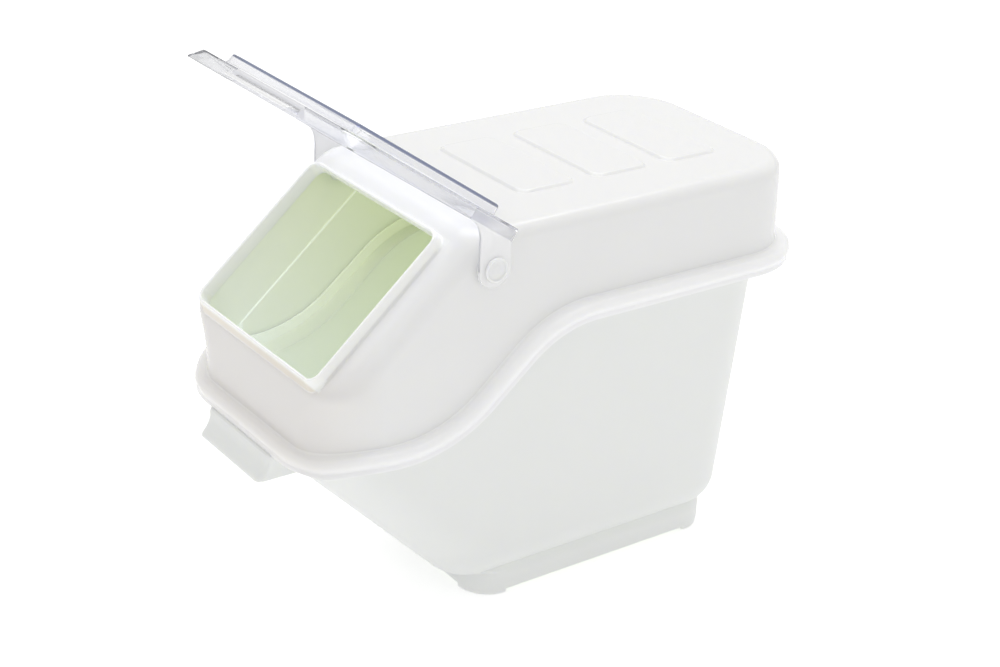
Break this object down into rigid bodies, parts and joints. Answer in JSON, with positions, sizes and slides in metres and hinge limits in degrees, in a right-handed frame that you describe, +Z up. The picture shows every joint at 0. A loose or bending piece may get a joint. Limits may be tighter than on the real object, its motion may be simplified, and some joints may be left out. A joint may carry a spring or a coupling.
{
  "type": "rice bin with flip lid",
  "caption": "Tall sloping-front grain bin: a tub on a low plinth, a press-on hood with a framed mouth, and a clear flip lid hinged at the hood's shoulders.",
  "frame": {"origin": "middle of the box round the whole bin at rest with its lid open, on the ground under the feet", "axes": "+X is across, to the right for someone who looks at the bin's front, +Y is towards the back, +Z is up; the mouth, the lid's tab and the pull face -Y"},
  "size_m": [0.305, 0.6, 0.5453],
  "materials": {
    "tub_plastic": "satin white moulded polypropylene, faintly translucent",
    "hood_plastic": "semi-gloss white moulded plastic",
    "clear_plastic": "polished clear plastic with a faint slate-blue edge",
    "pin_plastic": "semi-gloss white moulded plastic"
  },
  "bodies": {
    "tub": {"tub": "tub_plastic"},
    "hood": {"hood": "hood_plastic", "hinge_pin_left": "pin_plastic", "hinge_pin_right": "pin_plastic"},
    "lid": {"flip_lid": "clear_plastic"}
  },
  "joints": [
    {"name": "hood_lift", "type": "slide", "parent": "tub", "child": "hood", "axis": [0, 0, 1], "range_m": [0, 0.15]},
    {"name": "lid_hinge", "type": "hinge", "parent": "hood", "child": "lid", "pos_m": [0, -0.10523, 0.39269], "axis": [1, 0, 0], "range_deg": [0, 76]}
  ]
}
